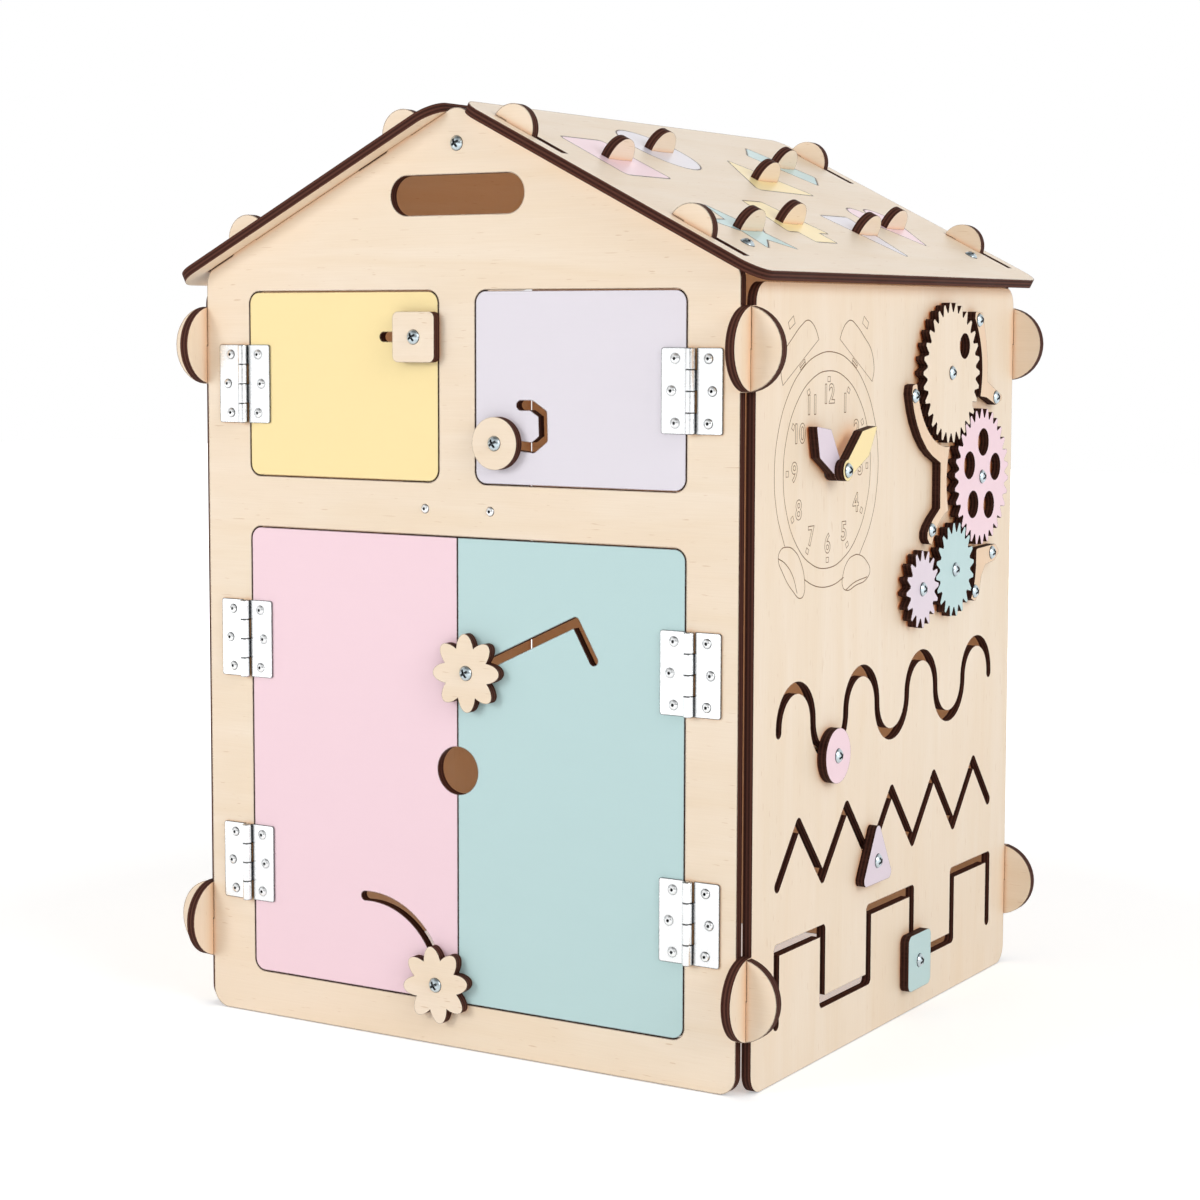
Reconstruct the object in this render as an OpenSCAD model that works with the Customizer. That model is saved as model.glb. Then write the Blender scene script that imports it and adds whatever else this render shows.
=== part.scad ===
// Wooden activity house: a floorless plywood box with a pitched roof, carrying doors,
// latches, mazes, a toy clock, a gear train and a roof shape sorter.
// Millimetres, +Z up, the door side faces -Y, origin on the floor under the middle.

/* [Board] */
// Thickness of every plywood sheet
ply = 6; // [5:0.5:7.5]
// Width of the front and back panels
front_w = 390; // [375:5:470]
// Width of the two side panels, front to back
side_w = 385; // [370:5:465]
// Height of the side panels
side_h = 474.5; // [468:0.5:532]
// Slope of the roof, in degrees
roof_pitch = 26.9; // [24:0.1:29]
// Gap left between two panels' edges at a corner
corner_gap = 0.5; // [0.3:0.1:1]
// Rounding of the panels' outer corners
corner_r = 12; // [6:1:16]
// Drop of the side panels' tops under the roof sheet
side_drop = 5.3; // [3:0.1:12]

/* [Corner ears] */
// Radius of the crossing ears at the corners
ear_r = 25; // [18:1:30]
// Distance from a panel's edge out to the ear's centre
ear_out = 1.5; // [0:0.5:4]
// Height of the lower ears' centres
ear_low = 58; // [45:1:80]
// Drop of the upper ears' centres under the side panels' tops
ear_drop = 38.5; // [32:0.5:70]
// Clearance of a cross-lap slot
lap_clear = 0.3; // [0.1:0.05:0.4]

/* [Roof] */
// Overhang of the roof sheets past the front and back panels
gable_over = 12; // [8:1:25]
// Length of the roof sheets past the gables' eave corners
eave_over = 18.3; // [10:0.1:30]
// Start of each roof sheet, measured down the slope from the ridge
ridge_gap = 8; // [7:0.5:14]
// Rounding of the roof sheets' corners
roof_r = 16; // [8:1:24]
// Gap between the roof sheets and the gables
roof_clear = 0.1; // [0.05:0.05:0.3]
// Radius of the roof's locking ears
roof_ear_r = 15; // [13:0.5:18]
// Height of a locking ear's centre over the gable edge
roof_ear_rise = 4; // [3:0.5:6]
// Distance down the slope to the upper locking ears
roof_ear_top = 42.9; // [36:0.1:55]
// Distance down the slope to the lower locking ears
roof_ear_foot = 179.2; // [165:0.1:190]
// Width of the hook that reaches up the slope over the sheet
hook = 9; // [6:0.5:10]
// Depth the gable edge is cut back under a hook
hook_relief = 0.3; // [0.1:0.1:1]
// Depth of the reliefs in the gable edges below each hook
relief = 0.5; // [0.5:0.1:3]
// Room a slot leaves for sliding the sheet down under its hooks
slide_room = 23.5; // [20:0.5:28]
// Thickness of the backing sheet under the sorter
backing_t = 3; // [3:0.5:4]
// Distance from the roof panel's slots' inner edges to the backing sheet
backing_gap = 1; // [0.5:0.5:4]

/* [Handle] */
// Width of the carrying slot in each gable
grip_w = 97.4; // [80:0.2:110]
// Height of the carrying slot
grip_h = 24.4; // [20:0.2:28]
// Drop of the carrying slot's centre under the roof's ridge
grip_drop = 53.8; // [42:0.2:62]
// Drop of the screw in each gable's peak under the roof's ridge
peak_screw_drop = 23; // [20:0.5:26]

/* [Doors] */
// Width of each upper door opening
upper_w = 147.3; // [140:0.1:150]
// Width of the post between the upper doors
post_w = 26.4; // [20:0.2:34]
// Bottom of the upper openings
upper_z0 = 352.6; // [346:0.2:356]
// Top of the upper openings
upper_z1 = 470.6; // [462:0.2:474]
// Bottom of the lower opening
lower_z0 = 28.3; // [20:0.1:32]
// Top of the lower opening
lower_z1 = 320.2; // [310:0.1:326]
// Gap round every door
door_gap = 0.8; // [0.6:0.1:1.2]
// Rounding of the openings' corners
open_r = 8; // [4:1:12]
// Radius of the finger hole shared by the lower doors
finger_r = 15; // [12:0.5:18]
// Height of the finger hole
finger_z = 175; // [150:1:195]
// Width of the stop strip behind the middle rail
stop_w = 90; // [60:2:110]
// Overlap of the stop strip over the doors above and below
stop_lap = 7; // [5:0.5:9]

/* [Hinges] */
// Height of a hinge
hinge_h = 50; // [44:1:56]
// Width of one hinge leaf from the pin
leaf_w = 20.2; // [18:0.2:21]
// Thickness of the leaves
leaf_t = 1.2; // [1:0.1:1.5]
// Distance from an opening's edge to the hinge pin
hinge_in = 3.5; // [3:0.1:5]
// Height of the pin's centre over the panel
pin_off = 3.2; // [3.2:0.1:3.6]
// Radius of the knuckles
knuckle_r = 2.9; // [2.7:0.05:2.9]
// Radius of the hinge pins
pin_r = 1.4; // [1.2:0.05:1.5]
// Radial clearance of the pins in the knuckles
pin_clear = 0.05; // [0.03:0.01:0.08]
// Gap between two knuckles
knuckle_gap = 0.3; // [0.2:0.05:0.5]
// Cut back of a leaf beside the other leaf's knuckles
leaf_back = 3.4; // [3.3:0.1:4]
// Height of the upper doors' hinges
upper_hinge_z = 411.6; // [400:0.2:420]
// Height of the lower doors' top hinges
lower_hinge_top = 247; // [220:1:270]
// Height of the lower doors' bottom hinges
lower_hinge_foot = 100; // [80:1:130]
// Rivets' height off the hinge's middle
rivet_dz = 18.7; // [16:0.1:20]
// Distance from the pin to the outer rivets
rivet_dx = 11; // [9:0.5:13]
// Distance from the pin to the middle rivet
rivet_mid = 13.5; // [11:0.5:15]
// Radius of a rivet's shank
rivet_r = 1.6; // [1.4:0.1:1.8]
// Radius of a rivet's domed head
rivet_head_r = 3; // [2.6:0.1:3.4]
// Radius of the bore in a rivet's head
rivet_bore = 0.75; // [0.5:0.05:0.9]
// Depth of the bore under a rivet's head
rivet_bore_deep = 1.5; // [0.5:0.1:3]
// Rounding of the leaves' corners
leaf_r = 1.5; // [0.5:0.1:2.5]

/* [Fasteners] */
// Radius of a screw's shank
bolt_r = 2.4; // [1.9:0.1:2.5]
// Radius of a screw's head
bolt_head_r = 4.7; // [4:0.1:5]
// Height of a screw's head
bolt_head_h = 2.7; // [2.2:0.1:3.2]
// Length of the cross recess in a screw's head
cross_l = 5.2; // [4:0.1:5.6]
// Width of the arms of the cross recess
cross_w = 1; // [0.8:0.1:1.2]
// Depth of the cross recess under the top of the head
cross_deep = 1.5; // [1:0.1:1.9]
// Distance across a nut's corners
nut_d = 8.8; // [8:0.1:10]
// Height of a nut
nut_h = 3.2; // [2.4:0.1:4]
// Radius of a washer
washer_r = 6; // [5:0.5:7]
// Thickness of a washer
washer_t = 1; // [0.8:0.1:1.2]
// Clearance of a hole round its screw
hole_clear = 0.15; // [0.1:0.05:0.4]
// Play left between stacked hardware
seat_gap = 0.05; // [0.02:0.01:0.1]
// Running clearance of a gear or hand on its screw
axle_clear = 0.06; // [0.04:0.01:0.09]

/* [Latches and mazes] */
// Width of the latches' tracks
track_w = 6; // [5.4:0.2:7]
// Width of the mazes' tracks
maze_w = 7.2; // [6:0.1:7.8]
// Gap between a sliding knob and the sheet it runs on
knob_gap = 0.3; // [0.2:0.05:0.5]
// Side of the square latch knob
square_w = 31; // [28:0.5:34]
// Height of the square latch's track
square_z = 442; // [436:1:448]
// Distance from the post to the square latch's screw
square_in = 15; // [12:0.5:20]
// Travel of the square latch
square_travel = 26.5; // [20:0.5:40]
// Radius of the round latch knob
round_r = 16; // [14:0.5:18]
// Radius of a flower latch over its petals
flower_r = 25; // [22:0.5:26]
// Radius of the arc track on the pink door
arc_r = 54; // [50:0.5:58]
// Half a wave of the round maze, crest to trough
wave_half = 45.45; // [42:0.05:48]
// Mean height of the round maze
wave_z = 211.6; // [205:0.1:216]
// Straight run between two bends of the round maze
wave_run = 0.4; // [0.2:0.1:10]
// Straight run at the round maze's two ends
wave_end = 1; // [0.5:0.5:8]
// Half a wave of the zigzag maze
zig_half = 33.25; // [30:0.05:35]
// Height of the zigzag's troughs
zig_low = 113.2; // [108:0.1:118]
// Height of the zigzag's peaks
zig_high = 151.7; // [146:0.1:156]
// Spacing of the square maze's inner legs
step_w = 66; // [60:0.5:70]
// Spacing of its first and last legs
step_end_w = 62; // [54:0.5:64]
// Height of the square maze's lower runs
step_low = 35.2; // [30:0.1:38]
// Height of the square maze's upper runs
step_high = 80; // [76:0.5:86]
// Radius of the round maze knob
pink_knob_r = 17; // [14:0.5:18]
// Width of the oblong maze knob
oblong_w = 35; // [30:0.5:38]
// Height of the oblong maze knob
oblong_h = 37; // [30:0.5:38]

/* [Gears] */
// Size of the teeth: pitch diameter divided by the number of teeth
gear_m = 2.94; // [2.86:0.01:3]
// Teeth of the natural gear
natural_teeth = 30; // [28:1:31]
// Teeth of the pink gear
pink_teeth = 30; // [28:1:31]
// Teeth of the mint gear
mint_teeth = 20; // [18:1:20]
// Teeth of the lilac gear
lilac_teeth = 16; // [15:1:17]
// Height of a tooth's tip over the pitch circle
tooth_add = 1.8; // [1.5:0.05:2.2]
// Depth of a tooth's root under the pitch circle
tooth_ded = 4.3; // [3.5:0.05:5]
// Width of a tooth's tip
tip_w = 2.2; // [1:0.1:2.4]
// Width of the flat at the root
root_w = 1.4; // [0.8:0.1:1.8]
// Clearance between the gears' tips and the guards
guard_gap = 7.5; // [5:0.5:8]

/* [Clock] */
// Length of the lilac hand from the pivot to its tip
lilac_hand_l = 41; // [36:0.5:46]
// Width of the lilac hand
lilac_hand_w = 22; // [18:0.5:24]
// Length of the yellow hand from the pivot to its tip
yellow_hand_l = 48; // [40:0.5:52]
// Width of the yellow hand
yellow_hand_w = 18; // [16:0.5:22]
// Radius of the hands' rounded pivot ends
hand_end_r = 6.5; // [5.5:0.1:7.5]
// Gap under and between the hands and gears
stack_gap = 0.15; // [0.1:0.05:0.3]

/* [Shape sorter] */
// Radius of the half-round handles
knob_r = 14; // [12:0.5:16]
// Clearance of a shape in its hole
shape_clear = 0.35; // [0.25:0.05:0.5]
// Width of the handles' tenons
tenon_w = 12; // [8:0.5:16]
// Clearance of a tenon in its shape
tenon_clear = 0.1; // [0.05:0.05:0.2]

/* [Hidden] */
$fn = 64;
far = 700;
// Straight flanks lie this far inside the rounds they meet, and so cross them cleanly
flank = 0.01;
birch = [0.93, 0.86, 0.74];
pink = [0.97, 0.84, 0.87];
mint = [0.73, 0.86, 0.86];
yellow = [0.99, 0.92, 0.69];
lilac = [0.90, 0.87, 0.93];
zinc = [0.78, 0.80, 0.82];

// Outer faces of the walls
half_w = front_w / 2 + corner_gap + ply;
half_d = side_w / 2 + corner_gap + ply;
tan_p = tan(roof_pitch);
cos_p = cos(roof_pitch);
ridge_z = round(10 * (side_h + side_drop + tan_p * half_w)) / 10;
ear_high = side_h - ear_drop;
grip_z = ridge_z - grip_drop;
peak_screw_z = ridge_z - peak_screw_drop;
roof_end = front_w / 2 / cos_p + eave_over;
roof_half = half_d + gable_over;
gable_z = ridge_z - roof_clear / cos_p;

// Openings and doors
open_x1 = post_w / 2 + upper_w;
hinge_x = open_x1 + hinge_in;
rail_z = (lower_z1 + upper_z0) / 2;
rail_rivet_x = 24;
square_at = [-(post_w / 2 + square_in), square_z];
round_path = [[31, 378.2], [55, 376], [62.3, 381.5], [61.8, 396.4], [53.7, 401.4], [46.2, 401.3]];
flower_path = [[10, 237], [84.9, 272.6], [97.7, 250.1]];
arc_mid = [-67.1, 34.2];
arc_start = 5.5;
arc_end = 94.5;
lower_flower_at = arc_mid + arc_r * [cos(arc_start), sin(arc_start)];

// Tracks of the side panel, in its own (depth, height) plane
wave_y0 = -137.5;
wave_r = wave_half / 2;
wave_low = wave_z - wave_run / 2;
wave_top = wave_z + wave_run / 2;
zig_y0 = -132.8;
step_y0 = -98.4;
// A knob's screw rests on the lower wall of its track
rest = maze_w / 2 - bolt_r - 0.3;
step_y = [step_y0 - step_end_w, step_y0, step_y0 + step_w, step_y0 + 2 * step_w, step_y0 + 3 * step_w,
  step_y0 + 3 * step_w + step_end_w];
round_knob_at = [wave_y0 + wave_half, wave_low - wave_r - rest];
triangle_at = [zig_y0 + 3 * zig_half, zig_low - rest];
oblong_at = [step_y[3], step_low - rest];

// Gear train: each centre lies one pitch distance from the last
function pitch_r(n) = n * gear_m / 2;
function polar(r, a) = [r * cos(a), r * sin(a)];
dir_pink = -53.2;
dir_mint = -125.9;
dir_lilac = -170.6;
natural_at = [71.2, 418.2];
pink_at = natural_at + polar(pitch_r(natural_teeth) + pitch_r(pink_teeth), dir_pink);
mint_at = pink_at + polar(pitch_r(pink_teeth) + pitch_r(mint_teeth), dir_mint);
lilac_at = mint_at + polar(pitch_r(mint_teeth) + pitch_r(lilac_teeth), dir_lilac);
// Angle of one tooth of a gear that meshes with a gear whose tooth stands at angle a
function mesh(a, dir, na, nb) = dir + 180 - (a - dir) * na / nb + 180 / nb;
natural_a = 95.4;
pink_a = mesh(natural_a, dir_pink, natural_teeth, pink_teeth);
mint_a = mesh(pink_a, dir_mint, pink_teeth, mint_teeth);
lilac_a = mesh(mint_a, dir_lilac, mint_teeth, lilac_teeth);
gear_back = washer_t + stack_gap;
clock_at = [-97.5, 362.5];
hand2_back = gear_back + ply + stack_gap;

// Screws through the panels
left_guard_screws = [[15.6, 404.4], [44.4, 316.6]];
upper_guard_screws = [[118.6, 452.7], [149.2, 400.4]];
lower_guard_screws = [[146.2, 294.5], [117.5, 270.3]];
backing_screws = [[200, -165], [200, 165]];

// Sorter shapes: the handle's place on each, down the slope and along the ridge
square_knob_at = [80, -134];
circle_knob_at = [57, -46];
triangle_knob_at = [92, 41];
rectangle_knob_at = [63, 117.5];
star_knob_at = [178, -128];
lamp_knob_at = [162.5, -46];
wedge_knob_at = [172.8, 45];
heart_knob_at = [159, 114];

// ---------- flat shapes ----------
function unit(v) = v / norm(v);
function right_of(d) = [d[1], -d[0]];
function dir_in(p, i) = unit(p[i] - p[(i + len(p) - 1) % len(p)]);
function dir_out(p, i) = unit(p[(i + 1) % len(p)] - p[i]);
// A corner turns round where the chain turns left or back on itself, and meets in a point elsewhere
function turns_round(a, b) = a[0] * b[1] - a[1] * b[0] > 0.000001 || a * b < -0.99;
function beside(p, a, b, r) = turns_round(a, b) ? [p + r * right_of(a), p + r * right_of(b)]
  : [p + r * (right_of(a) + right_of(b)) / (1 + a * b)];

// Outline at distance r outside a closed counterclockwise chain of points
module rounded(pts, r) {
  n = len(pts) - 1;
  polygon([for (i = [0:n]) each beside(pts[i], dir_in(pts, i), dir_out(pts, i), r - flank)]);
  for (i = [0:n]) if (turns_round(dir_in(pts, i), dir_out(pts, i))) translate(pts[i]) circle(r);
}

// Track of half-width r along an open chain of points
module chain(pts, r) {
  back = [for (i = [len(pts) - 2:-1:1]) pts[i]];
  rounded(concat(pts, back), r);
}

// Round-ended bar between two points
module bar(a, b, r) {
  chain([a, b], r);
}

// Rounded rectangle between two corners
module round_rect(x0, y0, x1, y1, r) {
  translate([x0 + r, y0]) square([x1 - x0 - 2 * r, y1 - y0]);
  translate([x0, y0 + r]) square([x1 - x0, y1 - y0 - 2 * r]);
  for (x = [x0 + r, x1 - r], y = [y0 + r, y1 - r]) translate([x, y]) circle(r);
}

// Two circles and the straight flanks that touch both
module taper(a, b, ra, rb) {
  d = b - a;
  l = norm(d);
  t = acos((ra - rb) / l);
  fa = ra - flank;
  fb = rb - flank;
  translate(a) circle(ra);
  translate(b) circle(rb);
  translate(a) rotate(atan2(d[1], d[0]))
    polygon([polar(fa, t), polar(fa, -t), [l, 0] + polar(fb, -t), [l, 0] + polar(fb, t)]);
}

// Ring sector of width w from angle a0 to a1, with round ends
module arc(c, r, w, a0, a1) {
  translate(c) {
    intersection() {
      difference() {
        circle(r + w / 2 - flank, $fn = 128);
        circle(r - w / 2 + flank, $fn = 128);
      }
      polygon([[0, 0], polar(2 * r, a0), polar(2.9 * r, (a0 + a1) / 2), polar(2 * r, a1)]);
    }
    translate(polar(r, a0)) circle(w / 2);
    translate(polar(r, a1)) circle(w / 2);
  }
}

// Upper half of a ring
module half_ring(r, w) {
  intersection() {
    difference() {
      circle(r + w / 2, $fn = 128);
      circle(r - w / 2, $fn = 128);
    }
    translate([-r - w, 0]) square([2 * r + 2 * w, r + w]);
  }
}

// Eight-petalled flower
module flower_2d(r, big) {
  petal = r * 0.3;
  circle(r * 0.72);
  for (i = [0:7]) translate(polar(r - petal, 22.5 + 45 * i)) circle(petal);
  if (big) translate(polar(r - petal, -22.5)) circle(petal * 1.25);
}

// ---------- placing ----------
// Stands a flat shape on the front face, growing outward
module on_front(off, h) {
  translate([0, -(half_d + off), 0]) rotate([90, 0, 0]) linear_extrude(h) children();
}

// Sinks a flat shape into the front sheet
module front_sheet() {
  translate([0, -half_d + ply, 0]) rotate([90, 0, 0]) linear_extrude(ply) children();
}

// Stands a flat shape on the right face, growing outward
module on_side(off, h) {
  translate([half_w + off, 0, 0]) rotate([90, 0, 90]) linear_extrude(h) children();
}

// Turns +Z to face out of the front at a point of it
module front_axis(p, off) {
  translate([p[0], -(half_d + off), p[1]]) rotate([90, 0, 0]) children();
}

// Turns +Z to face out of the right side at a point of it
module side_axis(p, off) {
  translate([half_w + off, p[0], p[1]]) rotate([0, 90, 0]) children();
}

// Right roof slope: x runs down it, y along the ridge, z out of it
module on_roof() {
  translate([0, 0, ridge_z]) rotate([0, roof_pitch, 0]) children();
}

// ---------- fasteners ----------
// Pan head screw with a cross recess, its head on z = 0 and its shank below
module bolt(l) {
  dome = (bolt_head_r * bolt_head_r + bolt_head_h * bolt_head_h) / (2 * bolt_head_h);
  difference() {
    rotate_extrude() {
      translate([0, -l]) square([bolt_r, l + 0.5]);
      intersection() {
        translate([0, bolt_head_h - dome]) circle(dome);
        square([bolt_head_r, bolt_head_h]);
      }
    }
    for (a = [30, 120]) rotate(a) translate([-cross_l / 2, -cross_w / 2, bolt_head_h - cross_deep])
      cube([cross_l, cross_w, bolt_head_h]);
  }
}

// Nut whose upper face lies at depth g
module nut(g) {
  translate([0, 0, -g - nut_h]) difference() {
    cylinder(d = nut_d, h = nut_h, $fn = 6);
    translate([0, 0, -1]) cylinder(r = bolt_r + hole_clear / 2, h = nut_h + 2);
  }
}

// Washer whose upper face lies at depth g
module washer(g) {
  translate([0, 0, -g - washer_t]) difference() {
    cylinder(r = washer_r, h = washer_t);
    translate([0, 0, -1]) cylinder(r = bolt_r + hole_clear / 2, h = washer_t + 2);
  }
}

// Screw, washer and nut that hold a knob against its sheet
module knob_fastener() {
  grip = ply + knob_gap + ply + knob_gap;
  bolt(grip + washer_t + seat_gap + nut_h + 1);
  washer(grip);
  nut(grip + washer_t + seat_gap);
}

// Screw and nut through a piece of thickness g
module through_fastener(g) {
  bolt(g + nut_h + 1);
  nut(g);
}

// Domed blind rivet, open at the head, through a leaf and a sheet of total thickness g
module rivet(g) {
  head_h = rivet_head_r * 0.5;
  dome = (rivet_head_r * rivet_head_r + head_h * head_h) / (2 * head_h);
  rotate_extrude() difference() {
    union() {
      translate([0, -g]) square([rivet_r, g + 0.4]);
      translate([0, -g - 0.9]) square([rivet_head_r - 0.5, 0.9]);
      intersection() {
        translate([0, head_h - dome]) circle(dome);
        square([rivet_head_r, head_h]);
      }
    }
    translate([-1, -rivet_bore_deep]) square([1 + rivet_bore, rivet_bore_deep + head_h + 1]);
  }
}

// ---------- panels ----------
// Crossing ear on an edge at x = 0: up = 1 is slotted from above, -1 from below
module corner_ear(up) {
  slot_w = corner_gap + ply + lap_clear;
  difference() {
    translate([ear_out, 0]) circle(ear_r);
    translate([0, up > 0 ? -lap_clear / 2 : -ear_r - 1])
      square([slot_w, ear_r + 1 + lap_clear / 2]);
  }
}

// Ears on both upright edges of a panel of width w
module corner_ears(w, up) {
  for (m = [0, 1], z = [ear_low, ear_high])
    mirror([m, 0]) translate([w / 2, z]) corner_ear(up);
}

// Locking ears on both slopes of a gable
module gable_ears() {
  for (m = [0, 1], s = [roof_ear_top, roof_ear_foot])
    mirror([m, 0]) translate([0, ridge_z]) rotate(-roof_pitch) difference() {
      translate([s, roof_ear_rise]) circle(roof_ear_r);
      translate([s - roof_ear_r - 1, -roof_clear - hook_relief])
        square([hook + 1, ply + 2 * roof_clear + hook_relief + lap_clear]);
    }
}

// Shallow cuts in the gable edges, down the slope from each locking ear
module gable_reliefs() {
  past = roof_ear_r + 0.5;
  for (m = [0, 1]) mirror([m, 0]) translate([0, ridge_z]) rotate(-roof_pitch) {
    translate([roof_ear_top + past, -roof_clear - relief]) square([slide_room, ply]);
    translate([roof_ear_foot + past, -roof_clear - relief]) square([far, ply]);
  }
}

// Outline of the front and back panels
module gable_2d() {
  r = corner_r;
  x = front_w / 2 - r;
  peak = gable_z - r / cos_p;
  difference() {
    union() {
      rounded([[-x, r], [x, r], [x, peak - tan_p * x], [0, peak], [-x, peak - tan_p * x]], r);
      corner_ears(front_w, 1);
      gable_ears();
    }
    gable_reliefs();
    round_rect(-grip_w / 2, grip_z - grip_h / 2, grip_w / 2, grip_z + grip_h / 2, grip_h / 2 - 0.2);
    translate([0, peak_screw_z]) circle(bolt_r + hole_clear);
  }
}

// Points of a hinge's three rivets on the leaf that reaches in direction dir
function rivets(dir, z) = [[dir * rivet_dx, z + rivet_dz], [dir * rivet_mid, z], [dir * rivet_dx, z - rivet_dz]];

// All six hinges: side (-1 left, 1 right) and height
hinges = [[-1, upper_hinge_z], [1, upper_hinge_z], [-1, lower_hinge_top], [1, lower_hinge_top],
  [-1, lower_hinge_foot], [1, lower_hinge_foot]];

module front_panel_2d() {
  difference() {
    gable_2d();
    for (m = [0, 1]) mirror([m, 0]) round_rect(post_w / 2, upper_z0, open_x1, upper_z1, open_r);
    round_rect(-open_x1, lower_z0, open_x1, lower_z1, open_r);
    for (h = hinges, p = rivets(h[0], h[1]))
      translate([h[0] * hinge_x + p[0], p[1]]) circle(rivet_r + 0.1);
    for (x = [-rail_rivet_x, rail_rivet_x]) translate([x, rail_z]) circle(rivet_r + 0.1);
  }
}

module side_2d() {
  round_rect(-side_w / 2, 0, side_w / 2, side_h, corner_r);
  corner_ears(side_w, -1);
}

// Round maze: half rings joined by short straights
module wave_track() {
  h = maze_w / 2;
  for (i = [0:3]) translate([wave_y0 + 2 * i * wave_half, wave_top]) half_ring(wave_r, maze_w);
  for (i = [0:2]) translate([wave_y0 + (2 * i + 1) * wave_half, wave_low]) mirror([0, 1])
    half_ring(wave_r, maze_w);
  for (i = [1:6]) translate([wave_y0 + (i - 0.5) * wave_half - h, wave_low]) square([maze_w, wave_run]);
  for (i = [0, 7]) translate([wave_y0 + (i - 0.5) * wave_half, 0]) {
    translate([-h, wave_low - wave_end]) square([maze_w, wave_end + wave_run]);
    translate([0, wave_low - wave_end]) circle(h);
  }
}

module zigzag_track() {
  tops = [for (i = [0:8]) [zig_y0 + i * zig_half, i % 2 == 0 ? zig_high : zig_low]];
  start = [[zig_y0 - 27.5, zig_low + 5.2]];
  end = [[zig_y0 + 8 * zig_half + 27, zig_low + 7.5]];
  chain(concat(start, tops, end), maze_w / 2);
}

module step_track() {
  pts = [for (i = [0:5]) each (i % 2 == 0 ? [[step_y[i], step_low], [step_y[i], step_high]]
    : [[step_y[i], step_high], [step_y[i], step_low]])];
  chain(pts, maze_w / 2);
}

module right_panel_2d() {
  difference() {
    side_2d();
    wave_track();
    zigzag_track();
    step_track();
    for (p = concat([natural_at, pink_at, mint_at, lilac_at, clock_at],
      left_guard_screws, upper_guard_screws, lower_guard_screws))
      translate(p) circle(bolt_r + hole_clear);
  }
}

module front_panel() {
  color(birch) front_sheet() front_panel_2d();
}

module back_panel() {
  color(birch) mirror([0, 1, 0]) front_sheet() gable_2d();
}

module right_panel() {
  color(birch) on_side(-ply, ply) right_panel_2d();
}

module left_panel() {
  color(birch) mirror([1, 0, 0]) on_side(-ply, ply) side_2d();
}

// ---------- roof ----------
// Slots a roof sheet needs for the gables' locking ears
module ear_slots() {
  for (m = [0, 1], s = [roof_ear_top, roof_ear_foot]) mirror([0, m])
    translate([s - roof_ear_r + hook - lap_clear, half_d - ply - lap_clear])
      square([2 * roof_ear_r - hook + lap_clear + slide_room, ply + 2 * lap_clear]);
}

module roof_2d() {
  difference() {
    round_rect(ridge_gap, -roof_half, roof_end, roof_half, roof_r);
    ear_slots();
  }
}

module left_roof() {
  color(birch) mirror([1, 0, 0]) on_roof() linear_extrude(ply) roof_2d();
}

// Outlines of the sorter's shapes, c wider all round than the piece itself
module square_2d(c) {
  rounded([[56, -156], [103, -158], [103, -112], [56, -114]], 4 + c);
}

module circle_2d(c) {
  translate(circle_knob_at) circle(29.5 + c, $fn = 96);
}

module triangle_2d(c) {
  rounded([[66, 38.5], [109, 4.5], [111, 74]], 2.5 + c);
}

module rectangle_2d(c) {
  translate(rectangle_knob_at) rotate(33.5) rounded([[-24, -11.5], [24, -11.5], [24, 11.5], [-24, 11.5]], 2.5 + c);
}

module star_shape_2d(c) {
  translate(star_knob_at) rounded([for (i = [0:9]) polar(i % 2 == 0 ? 31 : 13.5, 180 + 36 * i)], 1.2 + c);
}

module lamp_2d(c) {
  translate([0, lamp_knob_at[1]]) rounded([[135, -11.5], [176, -25.5], [176, -13], [190, -13], [190, 13],
    [176, 13], [176, 25.5], [135, 11.5]], 2 + c);
}

module wedge_2d(c) {
  translate([0, wedge_knob_at[1]]) rounded([[150, 17.5], [150, -17.5], [204, 0]], 2.5 + c);
}

module heart_2d(c) {
  for (s = [-1, 1]) taper([144.5, heart_knob_at[1] + 13.5 * s], [185, heart_knob_at[1]], 14 + c, 2 + c);
}

module right_roof() {
  color(birch) on_roof() linear_extrude(ply) difference() {
    roof_2d();
    square_2d(shape_clear);
    circle_2d(shape_clear);
    triangle_2d(shape_clear);
    rectangle_2d(shape_clear);
    star_shape_2d(shape_clear);
    lamp_2d(shape_clear);
    wedge_2d(shape_clear);
    heart_2d(shape_clear);
    for (p = backing_screws) translate(p) circle(bolt_r + hole_clear);
  }
}

module roof_backing() {
  b = half_d - ply - lap_clear - backing_gap;
  color(birch) on_roof() translate([0, 0, -backing_t - seat_gap]) linear_extrude(backing_t) difference() {
    round_rect(ridge_gap + 14, -b, roof_end - eave_over - 9, b, 6);
    for (p = backing_screws) translate(p) circle(bolt_r + hole_clear);
  }
}

// Slot a handle's tenon passes through
module tenon_hole(p) {
  translate(p - [ply / 2 + tenon_clear, tenon_w / 2 + tenon_clear])
    square([ply + 2 * tenon_clear, tenon_w + 2 * tenon_clear]);
}

// Sorter piece: its outline less the tenon's slot
module sorter_piece(p) {
  on_roof() linear_extrude(ply) difference() {
    children();
    tenon_hole(p);
  }
}

// Half-round handle standing on a piece, with a tenon let through it
module handle(p) {
  color(birch) on_roof() translate([p[0] - ply / 2, p[1], ply]) rotate([90, 0, 90]) linear_extrude(ply) {
    intersection() {
      circle(knob_r);
      translate([-knob_r - 1, 0]) square([2 * knob_r + 2, knob_r + 1]);
    }
    translate([-tenon_w / 2, -ply + 0.2]) square([tenon_w, ply]);
  }
}

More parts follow.
